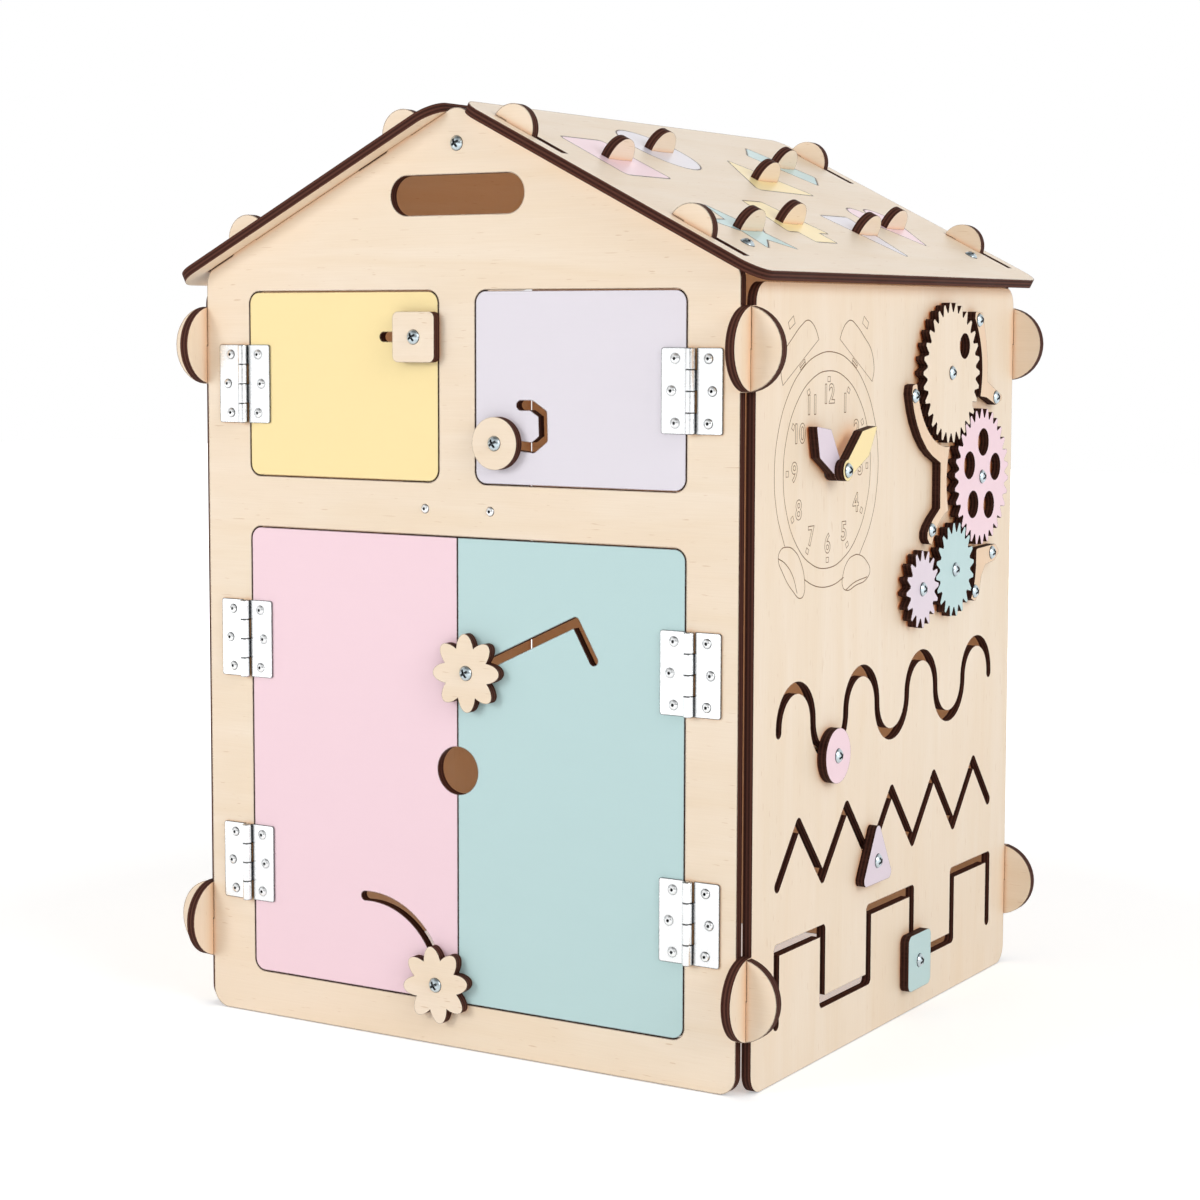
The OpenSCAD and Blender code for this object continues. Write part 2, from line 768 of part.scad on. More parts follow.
module square_shape() {
  color(pink) sorter_piece(square_knob_at) square_2d(0);
}
module circle_shape() {
  color(lilac) sorter_piece(circle_knob_at) circle_2d(0);
}
module triangle_shape() {
  color(yellow) sorter_piece(triangle_knob_at) triangle_2d(0);
}
module rectangle_shape() {
  color(mint) sorter_piece(rectangle_knob_at) rectangle_2d(0);
}
module star_shape() {
  color(mint) sorter_piece(star_knob_at) star_shape_2d(0);
}
module lamp_shape() {
  color(yellow) sorter_piece(lamp_knob_at) lamp_2d(0);
}
module wedge_shape() {
  color(lilac) sorter_piece(wedge_knob_at) wedge_2d(0);
}
module heart_shape() {
  color(pink) sorter_piece(heart_knob_at) heart_2d(0);
}
module square_handle() {
  handle(square_knob_at);
}
module circle_handle() {
  handle(circle_knob_at);
}
module triangle_handle() {
  handle(triangle_knob_at);
}
module rectangle_handle() {
  handle(rectangle_knob_at);
}
module star_handle() {
  handle(star_knob_at);
}
module lamp_handle() {
  handle(lamp_knob_at);
}
module wedge_handle() {
  handle(wedge_knob_at);
}
module heart_handle() {
  handle(heart_knob_at);
}

// ---------- doors ----------
module door_stop_strip() {
  h = upper_z0 - lower_z1 + 2 * stop_lap;
  color(birch) translate([0, ply, 0]) front_sheet() difference() {
    round_rect(-stop_w / 2, rail_z - h / 2, stop_w / 2, rail_z + h / 2, 3);
    for (x = [-rail_rivet_x, rail_rivet_x]) translate([x, rail_z]) circle(rivet_r + 0.1);
  }
}

// Rivet holes of a door hinged on side d at heights zs
module door_rivet_holes(d, zs) {
  for (z = zs, p = rivets(-d, z)) translate([d * hinge_x + p[0], p[1]]) circle(rivet_r + 0.1);
}

module yellow_door() {
  g = door_gap;
  color(yellow) front_sheet() difference() {
    round_rect(-open_x1 + g, upper_z0 + g, -post_w / 2 - g, upper_z1 - g, open_r - g);
    bar(square_at, square_at - [square_travel, 0], track_w / 2);
    door_rivet_holes(-1, [upper_hinge_z]);
  }
}

module lilac_door() {
  g = door_gap;
  color(lilac) front_sheet() difference() {
    round_rect(post_w / 2 + g, upper_z0 + g, open_x1 - g, upper_z1 - g, open_r - g);
    chain(round_path, track_w / 2);
    door_rivet_holes(1, [upper_hinge_z]);
  }
}

// Half of the lower pair: square where the two doors meet, rounded at the hinge side
module lower_door_2d() {
  g = door_gap;
  difference() {
    round_rect(-open_x1 + g, lower_z0 + g, open_x1 - g, lower_z1 - g, open_r - g);
    translate([-g / 2, 0]) square([far, far]);
    translate([0, finger_z]) circle(finger_r);
  }
}

module pink_door() {
  color(pink) front_sheet() difference() {
    lower_door_2d();
    arc(arc_mid, arc_r, track_w, arc_start, arc_end);
    door_rivet_holes(-1, [lower_hinge_top, lower_hinge_foot]);
  }
}

module mint_door() {
  color(mint) front_sheet() difference() {
    mirror([1, 0]) lower_door_2d();
    chain(flower_path, track_w / 2);
    door_rivet_holes(1, [lower_hinge_top, lower_hinge_foot]);
  }
}

// Hinge half round a pin on the Z axis, its leaf reaching along +X: first = 0 or 1 picks its knuckles
module hinge_half(first) {
  step = hinge_h / 4;
  difference() {
    union() {
      translate([0, pin_off, 0]) rotate([90, 0, 0]) linear_extrude(leaf_t) {
        round_rect(leaf_back, -hinge_h / 2, leaf_w, hinge_h / 2, leaf_r);
        translate([leaf_back, -hinge_h / 2]) square([2 * leaf_r, hinge_h]);
      }
      for (k = [first, first + 2]) translate([0, 0, -hinge_h / 2 + k * step + knuckle_gap / 2]) {
        cylinder(r = knuckle_r, h = step - knuckle_gap);
        translate([0, pin_off - leaf_t, 0]) cube([leaf_back + 1, leaf_t, step - knuckle_gap]);
      }
    }
    translate([0, 0, -hinge_h]) cylinder(r = pin_r + pin_clear, h = 2 * hinge_h);
    for (p = rivets(1, 0)) translate([p[0], 0, p[1]]) rotate([-90, 0, 0]) cylinder(r = rivet_r + 0.1, h = 2 * pin_off);
  }
}

// Half of the hinge on side d at height z, on the door or on the frame
module placed_half(d, z, on_door) {
  translate([d * hinge_x, -half_d - pin_off, z]) mirror([(on_door ? d > 0 : d < 0) ? 1 : 0, 0, 0])
    hinge_half(on_door ? 1 : 0);
}

// Rivets of the leaf on a door hinged on side d
module door_rivets(d, z) {
  for (p = rivets(-d, z)) front_axis([d * hinge_x + p[0], p[1]], leaf_t + seat_gap)
    rivet(leaf_t + seat_gap + ply);
}

module frame_hinge_halves() {
  color(zinc) for (h = hinges) {
    placed_half(h[0], h[1], false);
    translate([h[0] * hinge_x, -half_d - pin_off, h[1] - hinge_h / 2]) cylinder(r = pin_r, h = hinge_h);
  }
}

module frame_rivets() {
  color(zinc) {
    for (h = hinges, p = rivets(h[0], h[1])) front_axis([h[0] * hinge_x + p[0], p[1]], leaf_t + seat_gap)
      rivet(leaf_t + seat_gap + ply);
    for (x = [-rail_rivet_x, rail_rivet_x]) front_axis([x, rail_z], 0) rivet(2 * ply);
  }
}

module yellow_door_hinge_half() {
  color(zinc) {
    placed_half(-1, upper_hinge_z, true);
    door_rivets(-1, upper_hinge_z);
  }
}

module lilac_door_hinge_half() {
  color(zinc) {
    placed_half(1, upper_hinge_z, true);
    door_rivets(1, upper_hinge_z);
  }
}

module pink_door_hinge_halves() {
  color(zinc) for (z = [lower_hinge_top, lower_hinge_foot]) {
    placed_half(-1, z, true);
    door_rivets(-1, z);
  }
}

module mint_door_hinge_halves() {
  color(zinc) for (z = [lower_hinge_top, lower_hinge_foot]) {
    placed_half(1, z, true);
    door_rivets(1, z);
  }
}

// ---------- latches ----------
// Knob cut from the sheet, lying on the front with a hole for its screw at p
module front_knob(p) {
  on_front(knob_gap, ply) translate(p) difference() {
    children();
    circle(bolt_r + hole_clear / 2);
  }
}

module square_latch_knob() {
  w = square_w / 2;
  color(birch) front_knob(square_at) round_rect(-w, -w, w, w, 4);
}
module square_latch_fastener() {
  color(zinc) front_axis(square_at, knob_gap + ply) knob_fastener();
}
module round_latch_knob() {
  color(birch) front_knob(round_path[0]) circle(round_r);
}
module round_latch_fastener() {
  color(zinc) front_axis(round_path[0], knob_gap + ply) knob_fastener();
}
module upper_flower_latch() {
  color(birch) front_knob(flower_path[0]) flower_2d(flower_r, false);
}
module upper_flower_fastener() {
  color(zinc) front_axis(flower_path[0], knob_gap + ply) knob_fastener();
}
module lower_flower_latch() {
  color(birch) front_knob(lower_flower_at) flower_2d(flower_r, true);
}
module lower_flower_fastener() {
  color(zinc) front_axis(lower_flower_at, knob_gap + ply) knob_fastener();
}

// ---------- side panel toys ----------
// Knob cut from the sheet, lying on the right side with a hole for its screw at p
module side_knob(p) {
  on_side(knob_gap, ply) translate(p) difference() {
    children();
    circle(bolt_r + hole_clear / 2);
  }
}

module round_maze_knob() {
  color(pink) side_knob(round_knob_at) circle(pink_knob_r);
}
module round_maze_fastener() {
  color(zinc) side_axis(round_knob_at, knob_gap + ply) knob_fastener();
}
module triangle_maze_knob() {
  color(lilac) side_knob(triangle_at) rounded([[0, 18.5], [-16, -10], [16, -10]], 4);
}
module triangle_maze_fastener() {
  color(zinc) side_axis(triangle_at, knob_gap + ply) knob_fastener();
}
module oblong_maze_knob() {
  color(mint) side_knob(oblong_at) round_rect(-oblong_w / 2, -oblong_h / 2, oblong_w / 2, oblong_h / 2, 5);
}
module oblong_maze_fastener() {
  color(zinc) side_axis(oblong_at, knob_gap + ply) knob_fastener();
}

// Spur gear with pointed teeth, one of them at angle a
module gear_2d(n, a) {
  rt = pitch_r(n) + tooth_add;
  rr = pitch_r(n) - tooth_ded;
  ht = asin(tip_w / 2 / rt);
  hr = 180 / n - asin(root_w / 2 / rr);
  difference() {
    polygon([for (i = [0:n - 1]) let (t = a + 360 * i / n)
      each [polar(rr, t - hr), polar(rt, t - ht), polar(rt, t + ht), polar(rr, t + hr)]]);
    circle(bolt_r + axle_clear);
  }
}

module natural_gear() {
  color(birch) on_side(gear_back, ply) translate(natural_at) difference() {
    gear_2d(natural_teeth, natural_a);
    translate([20.4, 17.4]) circle(8.4);
  }
}

module pink_gear() {
  color(pink) on_side(gear_back, ply) translate(pink_at) difference() {
    gear_2d(pink_teeth, pink_a);
    for (i = [0:4]) translate(polar(23.3, 86.4 + 72 * i)) circle(9.2);
  }
}

module mint_gear() {
  color(mint) on_side(gear_back, ply) translate(mint_at) gear_2d(mint_teeth, mint_a);
}

module lilac_gear() {
  color(lilac) on_side(gear_back, ply) translate(lilac_at) gear_2d(lilac_teeth, lilac_a);
}

// Radius of a gear over its tips
function tip_r(n) = pitch_r(n) + tooth_add;

// Guard cut to an outline, clear of the gears' circles, bored for its screws
module guard(screws, rooms) {
  color(birch) on_side(0, ply) difference() {
    children();
    for (c = rooms) translate(c[0]) circle(c[1], $fn = 128);
    for (p = screws) translate(p) circle(bolt_r + hole_clear);
  }
}

module left_gear_guard() {
  rooms = [[natural_at + [-2.2, 3.3], tip_r(natural_teeth) + guard_gap - 1.8],
    [pink_at, tip_r(pink_teeth) + guard_gap + 3.5], [mint_at, tip_r(mint_teeth) + guard_gap + 2.3]];
  guard(left_guard_screws, rooms) rounded([[13.2, 409.4], [12.4, 406], [13.5, 402], [16.3, 394.5],
    [20.8, 386.9], [27, 379.2], [36, 371.5], [44.5, 366.8], [59, 361.2], [59.3, 329], [47.6, 322.1],
    [42.9, 318.4], [39.7, 314.8], [39.6, 312.2], [41.8, 310], [44, 309.3], [62, 318], [82, 322],
    [82, 372], [40, 395], [16.5, 410]], 2);
}

module upper_gear_guard() {
  rooms = [[natural_at, tip_r(natural_teeth) + guard_gap], [pink_at, tip_r(pink_teeth) + 2]];
  guard(upper_guard_screws, rooms) rounded([[113.5, 456.3], [112, 440], [112, 404.6], [133, 402.6],
    [149.5, 397.2], [157.5, 400], [142, 406], [132, 410], [132.2, 423], [129.5, 437], [124.5, 452],
    [122, 456]], 2);
}

module lower_gear_guard() {
  rooms = [[mint_at, tip_r(mint_teeth) + guard_gap - 1.2], [pink_at, tip_r(pink_teeth) + 2]];
  guard(lower_guard_screws, rooms) rounded([[121, 297], [120.8, 286], [119, 279], [113, 267.3],
    [117.5, 265.8], [122.5, 269], [126.8, 281], [134, 288.8], [150, 290.8], [156, 294.5], [151, 298]], 2);
}

// Clock hand: a leaf, rounded at the pivot, widest at three fifths and pointed at the tip
module hand_2d(l, w, a) {
  difference() {
    rotate(a) {
      circle(hand_end_r);
      rounded([[0, 2.5 - hand_end_r], [0.6 * l, 1 - w / 2], [l - 2, 0], [0.6 * l, w / 2 - 1],
        [0, hand_end_r - 2.5]], 1);
    }
    circle(bolt_r + axle_clear);
  }
}

module lilac_clock_hand() {
  color(lilac) on_side(gear_back, ply) translate(clock_at) hand_2d(lilac_hand_l, lilac_hand_w, 138);
}

module yellow_clock_hand() {
  color(yellow) on_side(hand2_back, ply) translate(clock_at) hand_2d(yellow_hand_l, yellow_hand_w, 32);
}

// ---------- fixed fasteners ----------
// Screw, spacing washer and nut that carry a turning piece whose face stands off by f
module axle_set(p, f) {
  side_axis(p, f) {
    bolt(f + ply + nut_h + 1);
    nut(f + ply);
    washer(f - washer_t);
  }
}

module axle_fasteners() {
  face = gear_back + ply + stack_gap;
  color(zinc) {
    for (p = [natural_at, pink_at, mint_at, lilac_at]) axle_set(p, face);
    axle_set(clock_at, hand2_back + ply + stack_gap);
  }
}

module panel_fasteners() {
  color(zinc) {
    for (m = [0, 1]) mirror([0, m, 0]) front_axis([0, peak_screw_z], 0) through_fastener(ply);
    for (p = concat(left_guard_screws, upper_guard_screws, lower_guard_screws))
      side_axis(p, ply) through_fastener(2 * ply);
    for (p = backing_screws) on_roof() translate([p[0], p[1], ply])
      through_fastener(ply + seat_gap + backing_t);
  }
}

front_panel();
back_panel();
left_panel();
right_panel();
left_roof();
right_roof();
roof_backing();
door_stop_strip();
left_gear_guard();
upper_gear_guard();
lower_gear_guard();
panel_fasteners();
frame_hinge_halves();
frame_rivets();
axle_fasteners();
yellow_door();
lilac_door();
pink_door();
mint_door();
yellow_door_hinge_half();
lilac_door_hinge_half();
pink_door_hinge_halves();
mint_door_hinge_halves();
square_latch_knob();
square_latch_fastener();
round_latch_knob();
round_latch_fastener();
upper_flower_latch();
upper_flower_fastener();
lower_flower_latch();
lower_flower_fastener();
natural_gear();
pink_gear();
mint_gear();
lilac_gear();
lilac_clock_hand();
yellow_clock_hand();
round_maze_knob();
round_maze_fastener();
triangle_maze_knob();
triangle_maze_fastener();
oblong_maze_knob();
oblong_maze_fastener();
square_shape();
circle_shape();
triangle_shape();
rectangle_shape();
star_shape();
lamp_shape();
wedge_shape();
heart_shape();
square_handle();
circle_handle();
triangle_handle();
rectangle_handle();
star_handle();
lamp_handle();
wedge_handle();
heart_handle();
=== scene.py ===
import math

import bpy
from mathutils import Matrix, Vector


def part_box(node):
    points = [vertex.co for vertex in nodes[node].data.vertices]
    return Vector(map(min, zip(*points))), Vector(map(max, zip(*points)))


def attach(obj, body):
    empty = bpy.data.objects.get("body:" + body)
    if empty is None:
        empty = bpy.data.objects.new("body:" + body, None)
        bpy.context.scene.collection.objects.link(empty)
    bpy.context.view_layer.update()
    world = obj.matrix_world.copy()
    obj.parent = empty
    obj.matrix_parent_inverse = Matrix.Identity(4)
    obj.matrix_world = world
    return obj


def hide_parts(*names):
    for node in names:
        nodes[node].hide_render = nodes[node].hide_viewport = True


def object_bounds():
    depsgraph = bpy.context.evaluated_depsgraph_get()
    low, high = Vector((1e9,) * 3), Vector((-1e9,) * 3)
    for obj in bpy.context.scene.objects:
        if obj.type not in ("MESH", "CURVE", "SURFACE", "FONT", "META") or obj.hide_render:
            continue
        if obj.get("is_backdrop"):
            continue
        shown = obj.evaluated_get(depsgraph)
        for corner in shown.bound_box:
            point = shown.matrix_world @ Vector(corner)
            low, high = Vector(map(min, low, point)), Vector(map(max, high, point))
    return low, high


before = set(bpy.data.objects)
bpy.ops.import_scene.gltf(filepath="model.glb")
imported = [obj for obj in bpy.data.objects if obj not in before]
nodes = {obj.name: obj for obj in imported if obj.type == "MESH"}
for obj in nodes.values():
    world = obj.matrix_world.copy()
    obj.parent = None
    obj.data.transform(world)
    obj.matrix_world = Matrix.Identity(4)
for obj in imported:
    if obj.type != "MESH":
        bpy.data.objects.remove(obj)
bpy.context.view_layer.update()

# Front and back gables: two equal sheets of 6 mm birch plywood, laser cut, with the grain
# of their faces running level. The cut edges are scorched dark and show the five plies.
# They stand on their lower edges and cross the side sheets at the ears.
FRONT, BACK, RIGHT = (0, -1, 0), (0, 1, 0), (1, 0, 0)
SHEET = 0.006
PLIES = 5
BIRCH_PALE = (0.928, 0.790, 0.636)
BIRCH_DEEP = (0.868, 0.698, 0.505)
BIRCH_CLOUD = (0.905, 0.700, 0.500)
BIRCH_FIBRE = (0.780, 0.610, 0.430)
BIRCH_FLECK = (0.640, 0.430, 0.250)
# Painted shade: the amber that tints hidden corners, faded in between two heights above the floor.
PAINTED_SHADE_AMBER = (0.840, 0.400, 0.140)
SHADE_FADE_LOW, SHADE_FADE_HIGH = 0.010, 0.030
RIM_BROWN = (0.075, 0.036, 0.026)
SCORCH_DARK = (0.040, 0.014, 0.010)
SCORCH_BROWN = (0.165, 0.062, 0.043)
SCORCH_STREAK = (0.075, 0.032, 0.023)
BARE_ROUGHNESS, PAINT_ROUGHNESS = 0.40, 0.32
FIBRE_ROUGHNESS, EDGE_ROUGHNESS = 0.12, 0.2
CHAR_SHEEN, VENEER_SHEEN = 0.06, 0.44
FIBRE_HEIGHT = 0.0004
FACE_ON = 0.9
GABLE_RIM = 0.0013


def fill(tree, node, sockets):
    """Gives each named or numbered socket a number, a colour or another node's output."""
    for key, value in sockets.items():
        socket = node.inputs[key]
        if isinstance(value, bpy.types.NodeSocket):
            tree.links.new(value, socket)
        elif socket.type == "RGBA":
            socket.default_value = (*value, 1.0)
        else:
            socket.default_value = value


def add_node(tree, kind, sockets=None, **settings):
    """Adds a node to a finish or to the sky, with its settings and its sockets filled."""
    made = tree.nodes.new(kind)
    for key, value in settings.items():
        setattr(made, key, value)
    fill(tree, made, sockets or {})
    return made


def plywood(name, face, grain, paint=None, start=(0.0, 0.0, 0.0), tone=None, burn=1.0,
        shade_reach=0.004, rim=0.0006):
    """Laser-cut plywood whose outer veneer looks along face; paint covers that side only.

    start picks the stretch of the log, tone tints the wood, and burn is the depth of the
    scorching. The last two are how far the painted amber shade reaches from a corner and
    how far brown reaches from a cut.
    """
    mat = bpy.data.materials.new(name)
    mat.use_nodes = True
    tree = mat.node_tree
    tree.nodes.clear()

    def dot(source, direction):
        made = add_node(tree, "ShaderNodeVectorMath", {0: source, 1: direction},
            operation="DOT_PRODUCT")
        return made.outputs["Value"]

    def reckon(operation, *terms):
        made = add_node(tree, "ShaderNodeMath", dict(enumerate(terms)), operation=operation)
        return made.outputs[0]

    def blend(factor, below, above, kind="MIX"):
        made = add_node(tree, "ShaderNodeMix", {0: factor, 6: below, 7: above},
            data_type="RGBA", blend_type=kind)
        return made.outputs[2]

    def ramp(source, low, high):
        made = add_node(tree, "ShaderNodeMapRange",
            {"Value": source, "From Min": low, "From Max": high})
        return made.outputs["Result"]

    def figure(along_scale, across_scale, detail, distortion, shift):
        """Noise drawn out along the grain; its scales are in waves per metre."""
        spot = add_node(tree, "ShaderNodeCombineXYZ", {
            0: reckon("MULTIPLY_ADD", along, along_scale, start[0] + shift),
            1: reckon("MULTIPLY_ADD", across, across_scale, start[1] + shift),
            2: reckon("MULTIPLY_ADD", depth, 40.0, start[2])})
        made = add_node(tree, "ShaderNodeTexNoise", {"Vector": spot.outputs[0],
            "Scale": 1.0, "Detail": detail, "Distortion": distortion})
        return made.outputs["Fac"]

    place = add_node(tree, "ShaderNodeTexCoord").outputs
    face, grain = Vector(face).normalized(), Vector(grain).normalized()
    along = dot(place["Object"], grain)
    across = dot(place["Object"], face.cross(grain))
    depth = dot(place["Object"], face)
    facing = dot(place["Normal"], face)
    veneer = reckon("GREATER_THAN", reckon("ABSOLUTE", facing), FACE_ON)

    # Veneer: broad soft bands, fine fibres and a few short dark flecks along the grain.
    bands = ramp(figure(5.0, 46.0, 3.0, 0.9, 0.0), 0.34, 0.70)
    clouds = ramp(figure(9.0, 14.0, 2.0, 0.4, 7.3), 0.40, 0.75)
    fibres = ramp(figure(30.0, 1300.0, 3.0, 0.2, 3.1), 0.30, 0.72)
    flecks = ramp(figure(75.0, 900.0, 1.0, 0.3, 11.9), 0.715, 0.765)
    wood = blend(reckon("MULTIPLY", bands, 0.62), BIRCH_PALE, BIRCH_DEEP)
    wood = blend(reckon("MULTIPLY", clouds, 0.34), wood, BIRCH_CLOUD)
    wood = blend(reckon("MULTIPLY", fibres, 0.20), wood, BIRCH_FIBRE)
    wood = blend(reckon("MULTIPLY", flecks, 0.60), wood, BIRCH_FLECK)
    if tone is not None:
        wood = blend(1.0, wood, tone, "MULTIPLY")

    # Painted shade: where other pieces hide a sheet from the light, its wood is tinted amber,
    # like light bounced between bare sheets, but not where a sheet meets the floor.
    corner = add_node(tree, "ShaderNodeAmbientOcclusion", {"Distance": shade_reach}, samples=6)
    shaded = ramp(reckon("SUBTRACT", 1.0, corner.outputs["AO"]), 0.12, 0.75)
    above_floor = ramp(dot(place["Object"], (0.0, 0.0, 1.0)), SHADE_FADE_LOW, SHADE_FADE_HIGH)
    amber = reckon("MULTIPLY", reckon("MULTIPLY", shaded, 0.85), above_floor)
    wood = blend(amber, wood, PAINTED_SHADE_AMBER)

    # Cut edge: scorched plies, every second one a little paler, streaked by the beam.
    streaks = ramp(figure(900.0, 900.0, 2.0, 0.0, 5.7), 0.35, 0.70)
    plies = reckon("PINGPONG", reckon("MULTIPLY_ADD", depth, PLIES / SHEET, start[0]), 1.0)
    burnt = blend(reckon("MULTIPLY", ramp(plies, 0.35, 0.75), 0.60 * burn),
        tuple(burn * v for v in SCORCH_DARK), SCORCH_BROWN)
    burnt = blend(reckon("MULTIPLY", streaks, 0.45), burnt, SCORCH_STREAK)

    if paint is None:
        surface = wood
        roughness = BARE_ROUGHNESS
    else:
        # Satin paint, thin enough for the fibres to show faintly.
        hollow, crest = (tuple(min(1.0, share * v) for v in paint) for share in (0.86, 1.05))
        coat = blend(reckon("MULTIPLY", fibres, 0.05), paint, hollow)
        coat = blend(reckon("MULTIPLY", bands, 0.05), coat, crest)
        surface = blend(reckon("GREATER_THAN", facing, FACE_ON), wood, coat)
        roughness = PAINT_ROUGHNESS

    # The beam leaves a thin brown rim along every cut, on the bare and on the painted face.
    rounded = add_node(tree, "ShaderNodeBevel", {"Radius": rim}, samples=4)
    straight = add_node(tree, "ShaderNodeNewGeometry")
    turned = dot(rounded.outputs["Normal"], straight.outputs["True Normal"])
    browned = ramp(reckon("SUBTRACT", 1.0, turned), 0.02, 0.12)
    surface = blend(browned, surface, RIM_BROWN)

    # Charred wood is matt: the cut edge and its rim hardly shine.
    sheen = reckon("MULTIPLY", veneer, reckon("SUBTRACT", 1.0, browned))
    roughness = reckon("MULTIPLY_ADD", fibres, FIBRE_ROUGHNESS, roughness)
    roughness = reckon("MULTIPLY_ADD", reckon("SUBTRACT", 1.0, veneer), EDGE_ROUGHNESS, roughness)
    bump = add_node(tree, "ShaderNodeBump", {
        "Height": reckon("MULTIPLY", fibres, 0.5 if paint is None else 0.22),
        "Strength": 0.10, "Distance": FIBRE_HEIGHT})
    shader = add_node(tree, "ShaderNodeBsdfPrincipled", {
        "Base Color": blend(veneer, burnt, surface),
        "Roughness": roughness,
        "Specular IOR Level": reckon("MULTIPLY_ADD", sheen, VENEER_SHEEN, CHAR_SHEEN),
        "Normal": bump.outputs[0]})
    add_node(tree, "ShaderNodeOutputMaterial", {"Surface": shader.outputs[0]})
    return mat


def finish_with(material, *names):
    """Gives CAD pieces their real finish."""
    for name in names:
        for slot in nodes[name].material_slots:
            slot.material = material


finish_with(plywood("front_birch", FRONT, RIGHT, start=(0.4, 2.0, 1.0), rim=GABLE_RIM),
    "front_panel")
finish_with(plywood("back_birch", BACK, RIGHT, start=(3.4, 8.0, 5.0)), "back_panel")

# Side sheets: the same plywood with its grain upright. The right one is cut through with
# three mazes and carries the clock and the gears. The left one is plain.
LEFT, UP = (-1, 0, 0), (0, 0, 1)
# How far the painted amber shade reaches on the side sheets.
SIDE_SHADE_REACH = 0.012
finish_with(plywood("right_birch", RIGHT, UP, start=(6.1, 3.0, 2.0), shade_reach=SIDE_SHADE_REACH),
    "right_panel")
finish_with(plywood("left_birch", LEFT, UP, start=(9.7, 1.0, 4.0), shade_reach=SIDE_SHADE_REACH),
    "left_panel")

# Clock dial: fine lines that the laser engraves into the right sheet: two rings, twelve
# outlined numbers, each with a small square mark, two bells with their knobs, and feet.
# The lines are drawn flat and then laid into the sheet's outer face.
PANEL_X = 0.2015
CLOCK_Y, CLOCK_Z = -0.0975, 0.3625
INNER_RING_R, OUTER_RING_R = 0.0596, 0.0710
NUMBER_RING_R, NUMBER_SIZE, NUMBER_SWELL = 0.0452, 0.0162, 0.0003
MARK_RING_MM = 54.6
MARK_MM = ((-1.7, -1.5), (1.7, -1.5), (1.7, 1.5), (-1.7, 1.5))
LINE_R = 0.00030
LINE_FLATNESS = 0.30
LINE_DARK, LINE_PALE = (0.120, 0.060, 0.024), (0.290, 0.165, 0.075)

engraved = bpy.data.materials.new("engraved_line")
engraved.use_nodes = True
line_tree = engraved.node_tree
line_place = add_node(line_tree, "ShaderNodeTexCoord")
line_noise = add_node(line_tree, "ShaderNodeTexNoise",
    {"Vector": line_place.outputs["Object"], "Scale": 160.0})
line_tint = add_node(line_tree, "ShaderNodeMix",
    {0: line_noise.outputs["Fac"], 6: LINE_DARK, 7: LINE_PALE}, data_type="RGBA")
fill(line_tree, line_tree.nodes["Principled BSDF"],
    {"Base Color": line_tint.outputs[2], "Roughness": 0.85})


def engrave(points, closed=True, sharp=()):
    """One engraved line through points of the dial's plane, in metres from the clock's middle."""
    curve = bpy.data.curves.new("engraving", "CURVE")
    curve.dimensions = "3D"
    curve.bevel_depth = LINE_R
    curve.bevel_resolution = 1
    curve.resolution_u = 8
    curve.use_fill_caps = True
    spline = curve.splines.new("BEZIER")
    spline.bezier_points.add(len(points) - 1)
    for place, (knot, (u, v)) in enumerate(zip(spline.bezier_points, points)):
        knot.co = (u, v, 0.0)
        knot.handle_left_type = knot.handle_right_type = "VECTOR" if place in sharp else "AUTO"
    spline.use_cyclic_u = closed
    made = bpy.data.objects.new("engraving", curve)
    bpy.context.scene.collection.objects.link(made)
    return made


def arc_points(radius, first=0.0, last=360.0, count=16):
    """Points on a circle, by angles in degrees that run anticlockwise from the right."""
    whole = last - first >= 360.0
    steps = count if whole else count - 1
    turns = [math.radians(first + (last - first) * i / steps) for i in range(count)]
    return [(radius * math.cos(turn), radius * math.sin(turn)) for turn in turns]


def millimetres(*pairs):
    """The same points in metres."""
    return [(u / 1000.0, v / 1000.0) for u, v in pairs]


# The outer ring stops at the feet. Each bell is a dome with a flat side and a knob, and
# stands on a short ribbed stem.
CORNERS = (0, 1, 2, 3)
lines = [
    engrave(arc_points(INNER_RING_R)),
    engrave(arc_points(OUTER_RING_R, -50.1, 216.5, 15), closed=False),
    engrave(arc_points(OUTER_RING_R, 244.7, 288.8, 6), closed=False)]
for side in (-1, 1):
    bell = ((14.4, 78.5), (18.6, 84.6), (24.5, 88.8), (29.5, 89.9), (36.5, 87.4),
        (49.5, 79.2), (58.8, 72.0), (62.6, 64.6), (63.4, 58.5), (61.0, 52.0))
    knob = ((48.2, 92.4), (54.8, 88.5), (52.9, 84.5), (46.0, 88.1))
    stem = ((33.0, 67.0), (39.6, 63.0), (38.2, 60.6), (31.8, 64.2))
    rib = ((32.4, 65.6), (38.9, 61.8))
    for outline, sharp, closed in (
            (bell, (0, 9), True),
            (knob, CORNERS, True),
            (stem, CORNERS, True),
            (rib, CORNERS, False)):
        lines.append(engrave(millimetres(*[(side * u, v) for u, v in outline]), closed, sharp))

# Each foot is a slipper with the fold of its opening.
for outline, closed in (
        (((-65.1, -48.9), (-63.0, -44.8), (-54.9, -42.9), (-43.4, -46.2), (-34.9, -54.4),
            (-30.5, -64.8), (-31.0, -72.4), (-35.1, -74.8), (-45.7, -69.8), (-59.6, -57.4)), True),
        (((-65.1, -48.9), (-55.6, -52.8), (-45.9, -61.0), (-40.2, -71.5)), False),
        (((21.4, -71.9), (22.2, -65.4), (28.6, -57.5), (37.5, -54.7), (45.0, -54.9),
            (55.8, -59.7), (60.9, -66.0), (57.6, -70.0), (40.9, -73.5), (26.6, -75.4)), True),
        (((26.6, -75.1), (37.9, -71.7), (56.7, -69.6)), False)):
    lines.append(engrave(millimetres(*outline), closed))

